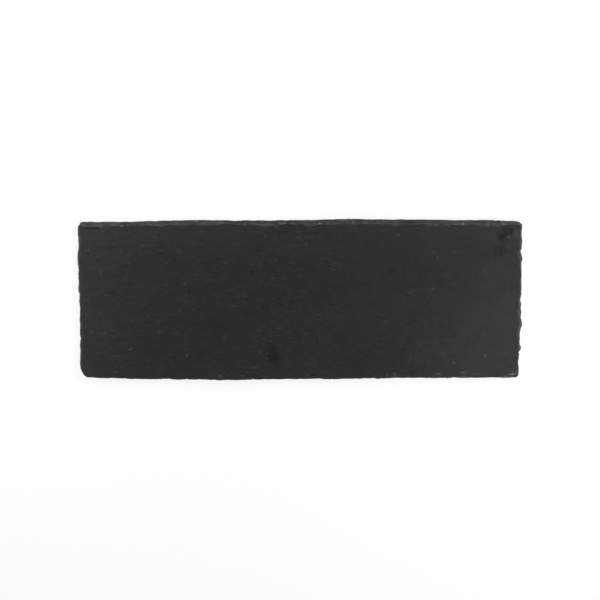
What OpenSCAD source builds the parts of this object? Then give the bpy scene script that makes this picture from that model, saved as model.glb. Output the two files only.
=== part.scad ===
// Slate serving board: one hand-cut slab of natural slate with chipped edges,
// standing on four stick-on rubber feet.
// The origin is the middle of the board's outline, on the surface that the feet stand on.
// X runs along the board, Y across it with the far edge at +Y, and Z is up.

/* [Slab] */
// Length of the slate along X, over its furthest points
slab_length = 400; // [300:10:500]
// Width of the slate along Y, over its furthest points
slab_width = 150; // [110:5:220]
// Thickness of the slate
slab_thickness = 6; // [5:0.5:10]
// Most that the hand-cut edges stray inwards from a straight line
edge_wander = 3; // [0:0.5:5]
// Depth of the small nicks along the two long edges
long_edge_nick = 0.2; // [0:0.05:0.8]
// Depth of the small nicks along the two short edges
short_edge_nick = 0.5; // [0:0.05:0.8]
// Spacing of the small nicks along the edges
nick_pitch = 4; // [3.5:0.5:12]

/* [Corners] */
// Radius of the far left corner
far_left_radius = 3; // [3:0.5:12]
// Radius of the near left corner
near_left_radius = 7.5; // [3:0.5:12]
// Radius of the near right corner
near_right_radius = 2.5; // [2:0.5:12]
// Radius of the far right corner
far_right_radius = 3; // [3:0.5:12]

/* [Chipped edges] */
// How far the chips reach over the face along the far edge
far_chip_bite = 4.1; // [2:0.1:5]
// How far the chips reach over the face along the near edge
near_chip_bite = 1.6; // [1:0.1:4]
// How far the chips reach over the face along the two short edges
end_chip_bite = 1.6; // [1:0.1:4]
// How far down the far edge its deepest chips run
far_chip_depth = 4.6; // [2:0.1:5.4]
// How far down the near edge its deepest chips run
near_chip_depth = 2.4; // [1.4:0.1:5.4]
// How far down the two short edges their deepest chips run
end_chip_depth = 3.2; // [1.4:0.1:5.4]
// Half the length of one chip, measured along the edge
chip_half_length = 13; // [8:0.5:18]
// Spacing of the chips along the edge
chip_pitch = 10; // [8:0.5:16]
// Slate that is left below the deepest chip
least_edge = 0.8; // [0.5:0.1:2]
// Thickness of the thin layers that flake off beside the edge
flake_depth = 1.1; // [0.4:0.1:2]

/* [Feet] */
// Diameter of a rubber foot where it meets the slate
foot_diameter = 14; // [8:1:24]
// Height of a rubber foot
foot_height = 2.5; // [1.5:0.5:8]
// How much narrower a foot is at the bottom, on the radius
foot_taper = 0.7; // [0:0.1:1.5]
// Radius of the rounded edge at the bottom of a foot
foot_edge_radius = 0.5; // [0.2:0.1:0.7]
// Distance from a foot's centre to the slab's nearest long edge
foot_inset_y = 24; // [18:1:45]
// Distance from a foot's centre to the slab's nearest short edge
foot_inset_x = 32; // [18:1:90]
// Thickness of the adhesive disc that holds a foot
tape_thickness = 0.3; // [0.1:0.05:1]
// How far the adhesive disc stops short of the foot's rim
tape_margin = 0.5; // [0:0.1:1.5]

/* [Hidden] */
overrun = 1;
slab_bottom = foot_height + tape_thickness;
slab_top = slab_bottom + slab_thickness;
slate_colour = "#3a3a3a";
fine = 64;
corner_step = 22.5;

// How far each edge strays inwards, from its left or near end to its right or far end:
// [place along the edge as a share of its length, inset as a share of edge_wander].
far_edge_shares = [
    [-0.5, 0.98], [-0.485, 0.99], [-0.47, 0.88], [-0.455, 0.94], [-0.415, 0.88], [-0.375, 0.85],
    [-0.36, 0.73], [-0.32, 0.58], [-0.265, 0.4], [-0.215, 0.32], [-0.19, 0.43], [-0.16, 0.44],
    [-0.147, 0.58], [-0.12, 0.47], [-0.065, 0.52], [0, 0.37], [0.055, 0.2], [0.105, 0], [0.135, 0],
    [0.16, 0.17], [0.175, 0.11], [0.203, 0.19], [0.23, 0.13], [0.25, 0.2], [0.27, 0.17], [0.31, 0.3],
    [0.35, 0.37], [0.415, 0.31], [0.445, 0.42], [0.458, 0.61], [0.475, 0.62], [0.5, 0.8]
];
near_edge_shares = [
    [-0.5, 0.95], [-0.475, 0.87], [-0.44, 0.65], [-0.41, 0.6], [-0.38, 0.4], [-0.325, 0.32],
    [-0.297, 0.35], [-0.285, 0.16], [-0.27, 0.13], [-0.257, 0.25], [-0.22, 0.15], [-0.2, 0],
    [-0.19, 0], [-0.13, 0.07], [-0.12, 0.08], [-0.107, 0.28], [-0.095, 0.18], [-0.07, 0.28],
    [-0.03, 0.35], [-0.012, 0.28], [0.035, 0.47], [0.055, 0.38], [0.07, 0.22], [0.1, 0.4],
    [0.165, 0.66], [0.178, 0.45], [0.2, 0.62], [0.22, 0.8], [0.245, 0.7], [0.27, 0.78], [0.3, 0.68],
    [0.355, 0.77], [0.383, 0.71], [0.395, 0.83], [0.45, 0.9], [0.465, 0.83], [0.5, 1]
];
left_edge_shares = [
    [-0.5, 0.42], [-0.435, 0.36], [-0.42, 0.18], [-0.36, 0.17], [-0.31, 0.28], [-0.29, 0.23],
    [-0.265, 0.38], [-0.21, 0.38], [-0.195, 0.23], [-0.13, 0.31], [-0.06, 0.41], [0, 0.32],
    [0.033, 0.37], [0.05, 0.15], [0.075, 0.09], [0.1, 0.25], [0.135, 0.13], [0.187, 0.23],
    [0.235, 0.07], [0.275, 0], [0.295, 0.05], [0.31, 0.37], [0.38, 0.38], [0.407, 0.2],
    [0.427, 0.12], [0.447, 0.4], [0.5, 0.46]
];
right_edge_shares = [
    [-0.5, 0.8], [-0.453, 0.68], [-0.4, 0.88], [-0.367, 0.73], [-0.327, 0.64], [-0.31, 0.34],
    [-0.26, 0.5], [-0.213, 0.57], [-0.185, 0.35], [-0.165, 0.02], [-0.15, 0], [-0.135, 0.24],
    [-0.11, 0.36], [-0.087, 0.26], [-0.053, 0.48], [-0.04, 0.37], [-0.013, 0.63], [0.01, 0.62],
    [0.033, 0.45], [0.087, 0.27], [0.115, 0.39], [0.187, 0.43], [0.22, 0.5], [0.25, 0.35],
    [0.265, 0.38], [0.287, 0.7], [0.303, 0.68], [0.35, 0.46], [0.39, 0.45], [0.42, 0.67],
    [0.447, 0.56], [0.5, 0.72]
];

// The chips along the far edge, from the left: [place along it as a share of slab_length,
// reach as a share of far_chip_bite, half length as a share of chip_half_length].
far_chip_shares = [
    [-0.473, 1.12, 0.95], [-0.44, 0.97, 0.8], [-0.415, 0.8, 0.75], [-0.389, 0.76, 0.8],
    [-0.361, 0.76, 0.85], [-0.335, 0.74, 0.85], [-0.31, 0.93, 0.85], [-0.279, 0.86, 0.85],
    [-0.252, 0.94, 0.9], [-0.221, 0.93, 0.9], [-0.196, 1.02, 0.75], [-0.162, 0.68, 1],
    [-0.13, 0.9, 0.8], [-0.104, 0.78, 0.75], [-0.079, 1.12, 0.9], [-0.052, 0.9, 0.75],
    [-0.03, 0.68, 0.75], [-0.009, 0.84, 0.8], [0.023, 1.1, 0.9], [0.046, 0.85, 0.75],
    [0.068, 0.98, 0.8], [0.097, 0.98, 0.85], [0.122, 1.03, 0.8], [0.151, 0.8, 0.9],
    [0.187, 0.9, 0.95], [0.217, 1.06, 0.9], [0.25, 0.95, 0.9], [0.275, 0.95, 0.8],
    [0.3, 1.2, 0.75], [0.327, 0.87, 0.8], [0.352, 1.04, 0.75], [0.378, 0.85, 0.8],
    [0.406, 1.1, 0.9], [0.433, 1.1, 0.8], [0.462, 0.85, 0.85], [0.483, 0.8, 0.7]
];

// Places where a thin layer has flaked off the face beside the edge: [edge, place along it
// as a share, half length as a share of chip_half_length, reach as a share of far_chip_bite,
// depth as a share of flake_depth].
flake_shares = [
    ["far", -0.467, 0.7, 1.2, 1],
    ["far", -0.31, 0.4, 1.05, 0.4],
    ["far", -0.079, 0.55, 1.15, 0.5],
    ["far", 0.215, 0.45, 1.12, 0.6],
    ["far", 0.3, 0.32, 1.25, 0.5],
    ["far", 0.42, 0.75, 1.2, 0.7],
    ["near", -0.182, 0.35, 0.53, 0.6],
    ["near", -0.12, 0.7, 0.5, 0.5],
    ["near", 0.019, 0.3, 0.6, 0.8],
    ["near", 0.206, 0.45, 0.58, 0.6],
    ["near", 0.303, 0.5, 0.56, 0.5],
    ["near", 0.372, 0.35, 0.65, 0.9],
    ["near", 0.475, 0.5, 0.82, 1],
    ["left", -0.3, 0.6, 0.6, 0.6],
    ["left", 0.3, 0.35, 0.65, 0.8],
    ["right", -0.07, 0.35, 0.7, 0.7],
    ["right", -0.2, 0.45, 0.65, 0.8],
    ["right", 0.29, 0.4, 0.82, 0.8]
];
flake_points = 18;

// Shallow hollows that a lost flake has left in the face: [place as a share of slab_length,
// place as a share of slab_width, radius as a share of chip_half_length, depth as a share
// of flake_depth].
hollow_shares = [
    [-0.067, -0.3, 0.4, 0.25],
    [-0.06, -0.35, 0.55, 0.32],
    [-0.043, -0.027, 0.2, 0.2],
    [0.46, 0.42, 0.42, 0.5],
    [0.447, 0.31, 0.55, 0.25]
];

function is_long(side) = side == "far" || side == "near";
function side_length(side) = is_long(side) ? slab_length : slab_width;
function side_shares(side) =
    side == "far" ? far_edge_shares :
    side == "near" ? near_edge_shares :
    side == "left" ? left_edge_shares : right_edge_shares;
function side_seed(side) = side == "far" ? 11 : side == "near" ? 23 : side == "left" ? 37 : 5;
function facing(side) = side == "far" ? 90 : side == "near" ? 270 : side == "left" ? 180 : 0;
function wander(side, share) = edge_wander * lookup(share, side_shares(side));

// The point of a side that is this far along it and this far in from the stated size.
function side_point(side, along, inset) =
    side == "far" ? [along, slab_width / 2 - inset] :
    side == "near" ? [along, inset - slab_width / 2] :
    side == "left" ? [inset - slab_length / 2, along] : [slab_length / 2 - inset, along];

// Centre of a corner's arc. The two signs say which end of the slab and which long edge.
function corner_centre(end_sign, edge_sign, radius) =
    let (end_side = end_sign > 0 ? "right" : "left", edge_side = edge_sign > 0 ? "far" : "near")
    [
        end_sign * (slab_length / 2 - radius - wander(end_side, edge_sign / 2)),
        edge_sign * (slab_width / 2 - radius - wander(edge_side, end_sign / 2))
    ];
far_left = corner_centre(-1, 1, far_left_radius);
far_right = corner_centre(1, 1, far_right_radius);
near_left = corner_centre(-1, -1, near_left_radius);
near_right = corner_centre(1, -1, near_right_radius);

// Where a side's nicked stretch begins and ends, between its two corner arcs.
function side_span(side) =
    side == "far" ? [far_left.x, far_right.x] :
    side == "near" ? [near_left.x, near_right.x] :
    side == "left" ? [near_left.y, far_left.y] : [near_right.y, far_right.y];

// A side as [distance along it, inset], with its outermost point at the stated size.
function side_line(side) =
    let (
        span = side_span(side),
        nick = is_long(side) ? long_edge_nick : short_edge_nick,
        count = floor((span[1] - span[0]) / nick_pitch),
        shift = rands(-0.35, 0.35, count + 1, side_seed(side)),
        depth = rands(0, 1, count + 1, side_seed(side) + 1),
        step = (span[1] - span[0]) / count,
        raw = [
            for (i = [0:count])
                let (
                    inner = i > 0 && i < count,
                    along = span[0] + step * (i + (inner ? shift[i] : 0))
                )
                [along, wander(side, along / side_length(side)) + (inner ? nick * depth[i] : 0)]
        ],
        least = min([for (point = raw) point[1]])
    )
    [for (point = raw) [point[0], point[1] - least]];
function side_points(side) = [for (point = side_line(side)) side_point(side, point[0], point[1])];
function reversed(list) = [for (i = [len(list) - 1:-1:0]) list[i]];
function corner_arc(centre, radius, from) = [
    for (angle = [from + corner_step:corner_step:from + 90 - corner_step])
        centre + radius * [cos(angle), sin(angle)]
];
outline = concat(
    corner_arc(far_right, far_right_radius, 0),
    reversed(side_points("far")),
    corner_arc(far_left, far_left_radius, 90),
    reversed(side_points("left")),
    corner_arc(near_left, near_left_radius, 180),
    side_points("near"),
    corner_arc(near_right, near_right_radius, 270),
    side_points("right")
);

// The hollow that a chip leaves: part of a ball that cuts the face and the edge to the
// stated reach, depth and length.
module chip(at, angle, bite, depth, half_length) {
    out = (half_length * half_length - bite * bite) / (2 * bite);
    up = (half_length * half_length - depth * depth) / (2 * depth);
    translate([at.x + out * cos(angle), at.y + out * sin(angle), slab_top + up])
        sphere(r = norm([half_length, out, up]), $fn = fine);
}

// One chip beside a side's line, this far along it.
module side_chip(side, along, turn, bite, depth, half_length) {
    chip(side_point(side, along, lookup(along, side_line(side))), facing(side) + turn,
        bite, min(depth, slab_thickness - least_edge), half_length);
}

// The chips along the far edge, one by one.
module far_chips() {
    count = len(far_chip_shares);
    fall = rands(0.75, 1, count, 16);
    turn = rands(-7, 7, count, 17);
    for (i = [0:count - 1])
        side_chip("far", slab_length * far_chip_shares[i][0], turn[i],
            far_chip_bite * far_chip_shares[i][1], far_chip_depth * fall[i],
            chip_half_length * far_chip_shares[i][2]);
}

// The row of chips along one of the other sides.
module chips(side, bite, depth) {
    span = side_span(side);
    count = floor((span[1] - span[0]) / chip_pitch);
    step = (span[1] - span[0]) / count;
    place = rands(-0.25, 0.25, count, side_seed(side) + 2);
    reach = rands(0.7, 1.1, count, side_seed(side) + 3);
    run = rands(0.6, 0.95, count, side_seed(side) + 4);
    fall = rands(0.6, 1, count, side_seed(side) + 5);
    turn = rands(-7, 7, count, side_seed(side) + 6);
    for (i = [0:count - 1])
        side_chip(side, span[0] + step * (i + 0.5 + place[i]), turn[i],
            bite * reach[i], depth * fall[i], chip_half_length * run[i]);
}

// One chip across a corner.
module corner_chip(centre, radius, angle, bite, depth) {
    chip(centre + radius * [cos(angle), sin(angle)], angle, bite,
        min(depth, slab_thickness - least_edge), chip_half_length * 0.6);
}

// A flat scar with a ragged rim, where a thin layer has come off beside the edge.
module flake(side, share, half_run, reach, depth, seed) {
    along = share * side_length(side);
    edge = side_point(side, along, lookup(along, side_line(side)));
    jag = rands(0.84, 1.08, flake_points, seed);
    translate([edge.x, edge.y, slab_top - depth])
        rotate([0, 0, facing(side)])
            linear_extrude(height = depth + overrun)
                polygon([
                    for (i = [0:flake_points - 1])
                        jag[i] * [reach * cos(360 * i / flake_points), half_run * sin(360 * i / flake_points)]
                ]);
}

// A shallow dish in the face.
module hollow(at, radius, depth) {
    ball = (radius * radius + depth * depth) / (2 * depth);
    translate([at.x, at.y, slab_top - depth + ball])
        sphere(r = ball, $fn = fine);
}

module slate_slab() {
    color(slate_colour)
        difference() {
            translate([0, 0, slab_bottom])
                linear_extrude(height = slab_thickness)
                    polygon(outline);
            far_chips();
            chips("near", near_chip_bite, near_chip_depth);
            chips("left", end_chip_bite, end_chip_depth);
            chips("right", end_chip_bite, end_chip_depth);
            corner_chip(far_left, far_left_radius, 135, end_chip_bite, end_chip_depth);
            corner_chip(far_right, far_right_radius, 45, end_chip_bite, end_chip_depth);
            corner_chip(near_left, near_left_radius, 225, near_chip_bite, near_chip_depth);
            corner_chip(near_right, near_right_radius, 315, near_chip_bite, near_chip_depth);
            for (i = [0:len(flake_shares) - 1])
                flake(flake_shares[i][0], flake_shares[i][1], flake_shares[i][2] * chip_half_length,
                    flake_shares[i][3] * far_chip_bite, flake_shares[i][4] * flake_depth, i + 1);
            for (dish = hollow_shares)
                hollow([dish[0] * slab_length, dish[1] * slab_width],
                    dish[2] * chip_half_length, dish[3] * flake_depth);
        }
}

// Puts a child under one corner of the slab.
module at_foot(end_sign, edge_sign) {
    translate([end_sign * (slab_length / 2 - foot_inset_x), edge_sign * (slab_width / 2 - foot_inset_y), 0])
        children();
}

// A moulded rubber disc that narrows downwards to a rounded edge.
module rubber_foot() {
    top_radius = foot_diameter / 2;
    bottom_radius = top_radius - foot_taper;
    color("#202020")
        rotate_extrude($fn = fine)
            union() {
                polygon([
                    [0, 0],
                    [bottom_radius - foot_edge_radius, 0],
                    [bottom_radius, foot_edge_radius],
                    [top_radius, foot_height],
                    [0, foot_height]
                ]);
                translate([bottom_radius - foot_edge_radius, foot_edge_radius])
                    circle(r = foot_edge_radius, $fn = fine);
            }
}

// The double-sided adhesive disc between a foot and the slate.
module adhesive_disc() {
    color("#c9c6bd")
        translate([0, 0, foot_height])
            cylinder(r = foot_diameter / 2 - tape_margin, h = tape_thickness, $fn = fine);
}

slate_slab();
at_foot(-1, 1) rubber_foot();  // rubber_foot_far_left
at_foot(1, 1) rubber_foot();  // rubber_foot_far_right
at_foot(-1, -1) rubber_foot();  // rubber_foot_near_left
at_foot(1, -1) rubber_foot();  // rubber_foot_near_right
at_foot(-1, 1) adhesive_disc();  // adhesive_disc_far_left
at_foot(1, 1) adhesive_disc();  // adhesive_disc_far_right
at_foot(-1, -1) adhesive_disc();  // adhesive_disc_near_left
at_foot(1, -1) adhesive_disc();  // adhesive_disc_near_right
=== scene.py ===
import math
from itertools import product
from types import SimpleNamespace

import bpy
import numpy as np
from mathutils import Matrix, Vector
from mathutils.bvhtree import BVHTree
from mathutils.geometry import delaunay_2d_cdt


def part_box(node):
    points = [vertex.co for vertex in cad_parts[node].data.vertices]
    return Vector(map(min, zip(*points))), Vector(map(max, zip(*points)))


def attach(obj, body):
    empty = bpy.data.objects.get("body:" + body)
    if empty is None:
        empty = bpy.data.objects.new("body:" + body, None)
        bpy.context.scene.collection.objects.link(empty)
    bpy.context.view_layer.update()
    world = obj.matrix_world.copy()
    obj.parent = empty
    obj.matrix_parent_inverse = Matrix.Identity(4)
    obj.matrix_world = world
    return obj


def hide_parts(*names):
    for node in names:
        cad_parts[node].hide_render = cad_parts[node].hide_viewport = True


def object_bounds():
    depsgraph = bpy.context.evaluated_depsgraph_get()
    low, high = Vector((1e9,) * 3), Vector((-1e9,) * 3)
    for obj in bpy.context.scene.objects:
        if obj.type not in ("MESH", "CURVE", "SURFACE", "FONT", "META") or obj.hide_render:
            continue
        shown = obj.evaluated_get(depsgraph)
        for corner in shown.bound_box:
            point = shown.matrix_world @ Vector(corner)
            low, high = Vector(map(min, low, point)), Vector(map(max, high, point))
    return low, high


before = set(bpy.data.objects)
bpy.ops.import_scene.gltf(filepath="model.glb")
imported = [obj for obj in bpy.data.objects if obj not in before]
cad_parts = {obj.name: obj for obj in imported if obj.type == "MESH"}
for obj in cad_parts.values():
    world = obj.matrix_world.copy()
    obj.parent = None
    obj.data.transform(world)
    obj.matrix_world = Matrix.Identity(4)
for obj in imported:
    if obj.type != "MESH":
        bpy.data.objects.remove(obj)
cad_low, cad_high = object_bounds()
MM = 0.001

# Camera: it looks down on the board from a little towards the far edge, through a long lens.
LEAN = math.radians(15.4)
DISTANCE = 3.0
OFF_CENTRE = Vector((-0.00036, -0.00015, 0))
SENSOR, LENS = 36.0, 199.85
CLIP_END = 50.0
PHOTO_SIZE = 600  # pixels, both ways
PIXELS_PER_MM = PHOTO_SIZE * LENS / SENSOR / DISTANCE * MM
FACE_DROP = 1.2  # mm that the face shows lower in the picture, because it is above the centre


def added(name, data):
    """A new object in the scene."""
    obj = bpy.data.objects.new(name, data)
    bpy.context.scene.collection.objects.link(obj)
    return obj


def make_camera():
    data = bpy.data.cameras.new("camera")
    data.sensor_width = SENSOR
    data.lens = LENS
    data.clip_end = CLIP_END
    camera = added("camera", data)
    camera.rotation_euler = (-LEAN, 0, 0)
    backwards = Vector((0, math.sin(LEAN), math.cos(LEAN)))
    camera.location = (cad_low + cad_high) / 2 + backwards * DISTANCE + OFF_CENTRE
    bpy.context.scene.camera = camera
    bpy.context.scene.view_settings.view_transform = "Standard"


def on_face(px, py):
    """The place on the top face, in mm, that shows at this pixel of the photograph."""
    x = (px - PHOTO_SIZE / 2) / PIXELS_PER_MM
    y = ((PHOTO_SIZE / 2 - py) / PIXELS_PER_MM + FACE_DROP) / math.cos(LEAN)
    return x, y


# Noise, the same on each run. The large numbers scramble the bits of a lattice point's place.
PLACE_FACTORS = (374761393, 668265263, 1274126177)
SEED_FACTOR = 974634777
SCRAMBLES = ((13, 1274126177), (16, 2246822519))
LAST_SHIFT = np.uint64(15)
LOW_BITS, LOWER_BITS = np.uint64(0xFFFFFFFF), np.uint64(0xFFFFFF)
LATTICE_SHIFT = 100000  # keeps the lattice's numbers above zero


def hashed(places, seed):
    """A fixed number from 0 to 1 for each lattice point."""
    h = np.uint64(seed * SEED_FACTOR)
    for place, factor in zip(places, PLACE_FACTORS):
        h = h + place.astype(np.uint64) * np.uint64(factor)
    h = h & LOW_BITS
    for shift, factor in SCRAMBLES:
        h = ((h ^ (h >> np.uint64(shift))) * np.uint64(factor)) & LOW_BITS
    return ((h ^ (h >> LAST_SHIFT)) & LOWER_BITS) / float(LOWER_BITS)


def noise(x, y, z, seed):
    """Smooth noise from -1 to 1, with features about one unit across."""
    places = np.broadcast_arrays(x, y, z)
    cells = [np.floor(v) for v in places]
    within = [v - c for v, c in zip(places, cells)]
    eased = [t * t * t * (t * (t * 6 - 15) + 10) for t in within]
    lattice = [(c + LATTICE_SHIFT).astype(np.int64) for c in cells]
    total = np.zeros(places[0].shape)
    for corner in product((0, 1), repeat=3):
        weight = 1.0
        for ease, side in zip(eased, corner):
            weight = weight * (ease if side else 1 - ease)
        total += weight * hashed([at + side for at, side in zip(lattice, corner)], seed)
    return total * 2 - 1


def fractal(x, y, z, seed, octaves):
    """Several sizes of noise on top of each other, from -1 to 1, the finer the weaker."""
    total, strength, reach = 0.0, 1.0, 0.0
    for i in range(octaves):
        total = total + strength * noise(x * 2**i, y * 2**i, z * 2**i, seed + i)
        reach += strength
        strength *= 0.55
    return total / reach


def waves(x, y, size, seed, octaves=1, layer=0.5):
    """Noise over a surface, from -1 to 1, with features about this many mm along x and y."""
    return fractal(x / size[0], y / size[1], layer, seed, octaves)


def smooth(low, high, value):
    """Eases from 0 at low to 1 at high."""
    t = np.clip((value - low) / (high - low), 0, 1)
    return t * t * (3 - 2 * t)


def in_mm(table):
    """Rows [pixel across, pixel down, half length, half width, change] with their places in mm."""
    return [
        (*on_face(px, py), half_x / PIXELS_PER_MM, half_y / PIXELS_PER_MM, change)
        for px, py, half_x, half_y, change in table
    ]


def spots(x, y, table, blur):
    """The sum of spots [x, y, half length, half width, change], blurred by this share of their size."""
    total = np.zeros_like(x)
    for at_x, at_y, half_x, half_y, change in table:
        reach = np.hypot((x - at_x) / half_x, (y - at_y) / half_y)
        total += change * (1 - smooth(1 - blur, 1 + blur, reach))
    return total


# The slab. All its sizes are in mm.
# The slate splits along thin layers, at these depths below its top face.
LAYERS = np.array([0, 0.3, 1.05, 1.35, 2.2, 3.2, 3.55, 4.3, 5.1, 5.5, 6.3])
# How far in from a rim its rows of points lie.
RIM = [
    0, 0.25, 0.5, 0.78, 1.06, 1.36, 1.66, 1.98, 2.3, 2.64, 3, 3.4, 3.8, 4.2, 4.65, 5.2, 5.9, 7, 8.4,
]
BAND = 16  # up to this row of RIM, the points along a rim are twice as close as in the middle
STEP, UNDER_STEP = 1.1, 3.2  # between the points of the middle, and of the underside
WALL_ROWS = 8  # of faces, from the top's rim down to the underside
SAME_HEIGHT = 0.001
CREASE = math.radians(48)  # the least angle that isn't shaded as if it were rounded
WALL_FRESH, WALL_FOOT_FRESH = 0.75, 0.35  # how freshly broken the wall is, and its lowest row
FAR_FROM_RIM = 9.0  # what the underside counts as
# How far in the rim is ragged, how much further by a corner, and how near the corner that begins.
RIM_GIVES, CORNER_GIVES, CORNER_REACH = 2.3, 3.7, 9

# Chips along the rim.
CHIPS_END, OFF_CORNER = (5.6, 7.2), (3, 11)  # distances where their evening out ends, and begins
EVEN_REACH = 6  # to either side that a chip is averaged over
EVEN_LONG, EVEN_SHORT = 0.72, 0.5  # how much of it is, along the long edges and the ends
CHIP_FROM, ALL_CHIP = 0.02, 0.4  # depths where the stone begins to look broken, and fully does
LEFT_OVER = 0.45  # the least that a chip leaves of the slab's thickness
CLEFT_FROM = (5.4, 6.4)  # distances in from the rim where it all turns into cleft face
ALONG_LAYERS = 0.8  # how much of a chip's slope is cut into steps along the layers
RISER_FROM = 0.55  # the share of a layer where its riser starts

# The cleft face's relief: how high or deep each part of it is.
WAVE, TREAD, LARGE_SCAR, SMALL_SCAR, RIPPLE, FINE_RIPPLE = 0.07, 0.17, 0.14, 0.2, 0.02, 0.006
QUIETEST, QUIETER_RIGHT = 0.35, 0.0022  # the share that quiet places keep, and less for each mm
LOST_IN_CHIPS = 0.6  # the share that is gone where the stone is broken
SKIN = 0.01  # how far the face stays below the CAD solid's

# The broken edge: how far it goes in from the CAD solid's outline.
LAYER_IN, LAYER_IN_LOWER = 0.12, 0.24  # a layer's edge at the top, and how much more lower down
NOTCH_IN, NOTCH_IN_ENDS = 0.08, 0.32  # a chance notch, and how much more at the ends
CRUMBS_IN, CORNER_IN, LIP_IN = 0.06, 0.15, 0.35  # the lip is where flakes came off underneath
ENDS_FROM, ENDS_FULL = 8, 2  # distances from an end between which its own notches set in
END_NOTCHES_LEFT, END_NOTCHES_RIGHT, NEAR_NOTCHES = 0.7, 1.5, 0.3  # how notched these edges are
LAYERS_APART = 7.37  # in the noise, so that no layer's edge follows the next one's
STANDS_OUT, STEPS_IN = -0.8, 1.3  # the furthest out and in, with the listed notches

# The underside: how far in its points start, end and stay from the rim; how far from a foot's
# middle it is level, and fully uneven; and how much it rises.
UNDER_FROM, UNDER_TO, UNDER_GAP = 3, 2.9, 1.4
LEVEL_TO, UNEVEN_FROM, UNDER_RISE = 8.5, 14, 0.09

# Painted light: how much lighter the slate is painted towards a side, as if more light fell there:
# [from this far off the middle, to, amount].
PAINTED_LIGHT_LEFT, PAINTED_LIGHT_RIGHT = (122, 200, 0.32), (30, 200, 0.17)
PAINTED_LIGHT_FAR, PAINTED_LIGHT_NEAR = (34, 72, 0.24), (30, 72, 0.15)
# The same painted light along the near rim and at both ends, as if more light fell on their broken
# stone: [full up to this far in, none from here in, amount].
PAINTED_LIGHT_NEAR_RIM, PAINTED_LIGHT_END_RIMS = (1.6, 3.2, 0.33), (1.5, 5, 0.16)

# How the marks below are used.
STRONGER_LIGHT = 1.15  # how much stronger light marks are than their tables say
MARK_DEPTH = 0.12  # how deep a dark mark of strength 1 goes
DENT_DEPTH, RIM_DENT = 0.6, 0.35  # the share of a dent's depth used, and of that in the rim
SPLIT_DARK = 0.5  # how deep a split is where it is darkest
HOLLOW_SHOWS, HOLLOW_FROM = (0.01, 0.12), (5.2, 6.2)  # depths, and distances in from the rim
# Painted shade: how much darker the dents, splits, hollows and scars are painted, as if they lay in
# shadow.
DENT_SHADE, SPLIT_SHADE, HOLLOW_SHADE, SCAR_SHADE = -1.3, -0.75, -0.12, -0.35
OLIVE_SPOT = (189.2, -58, 6.8, 5.8, 1)  # a faint olive stain, in the units of PATCHES

# Splits along the far edge, where a layer has begun to lift: [from x, to x, how far in from the
# rim, or 0 for just inside the chips, depth, half width].
SPLITS = [
    (-194, -176.5, 5.4, 1.7, 0.42), (-71, -58, 0, 0.45, 0.4), (-38, -27, 0, 0.35, 0.4),
    (-22, -8, 0, 0.7, 0.45), (-6, 2, 0, 0.5, 0.4), (7, 22, 0, 0.55, 0.4), (98, 113, 0, 0.5, 0.4),
    (132, 141, 0, 0.9, 0.5), (182, 196, 0, 0.8, 0.45),
]
# Flakes that have come off the face: [x, y, half length, half width, depth].
DENTS = [(184.8, 66, 5, 5, 0.3), (181, 58, 5.5, 4.5, 0.25)]
# Stains and lighter patches, with painted light among them: painted highlights on chips along the
# near rim, and painted shade in the hollow by the far right-hand corner, with painted light beside
# it: [x, y, half length, half width, how much lighter or darker].
PATCHES = [
    (-24.5, -50, 4.5, 7.5, -0.32), (-20, -63, 5, 3, -0.15), (194.5, 62, 3.5, 6, 0.5),
    (85, -69, 3.5, 0.9, 0.9), (125, -68.6, 4, 1, 1.1), (147.5, -67.6, 3, 1.2, 1.2),
    (-72, -71.5, 2.6, 1, 0.8), (186, -55, 5, 5, -0.12), (140, -14, 30, 22, 0.05),
    (-150, 30, 35, 22, 0.03), (160, -68, 12, 1.2, 0.35), (178, -36, 30, 36, 0.16),
    (132, -47, 15, 13, 0.1), (60, -45, 38, 20, -0.06), (176, 40, 16, 20, -0.06),
    (180, 48.5, 7.5, 8, -0.28), (179.8, 62.5, 4.2, 4.2, -0.5), (187, 68, 4, 3, -0.12),
]
# Broad lighter and darker places of the face, by where they show in the photograph:
# [pixel across, pixel down, half length and half width in pixels, how much lighter or darker].
CLOUDS = [
    (204, 240, 34, 10, 0.14), (150, 262, 14, 9, 0.13), (232, 252, 15, 9, 0.13),
    (114, 248, 16, 8, -0.1), (434, 240, 27, 9, -0.17), (378, 264, 16, 12, 0.13),
    (424, 350, 9, 12, 0.12), (462, 350, 55, 16, 0.09), (505, 334, 12, 10, 0.13),
    (160, 314, 18, 10, -0.11), (205, 354, 26, 9, -0.1), (306, 270, 28, 9, -0.08),
    (116, 300, 20, 9, -0.09), (334, 298, 12, 8, 0.08), (294, 249, 11, 7, 0.1),
    (307, 357, 14, 7, -0.09), (178, 326, 14, 8, -0.09), (504, 298, 11, 7, 0.09),
    (462, 262, 8, 7, 0.09), (306, 271, 12, 7, -0.06),
]
# Small light and dark marks at the right-hand end, in the units of PATCHES: the light ones are
# painted glints on its chips, the dark ones mostly painted shade in and by the hollow at its far
# corner.
END_MARKS = [
    (186.2, 59, 0.9, 0.9, 4), (186.1, 50.8, 1, 1, 1.3), (187.3, 49.4, 1, 0.7, 0.7),
    (191.5, 57, 1.2, 3, -0.3), (180.6, 62.4, 1.7, 6.2, -0.32), (188.4, 65, 1.2, 4, -0.32),
    (195.9, 69.5, 0.8, 0.6, -0.7), (192, -68.6, 3.2, 1, 4.5), (191.8, -63, 0.8, 0.6, 1.2),
    (191.6, -65.8, 1, 0.7, 1.6), (195.4, -66.7, 0.9, 1.6, 2), (195.7, -61.5, 0.8, 0.8, 0.8),
    (189.4, -62, 3, 1.6, -0.35),
]
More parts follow.
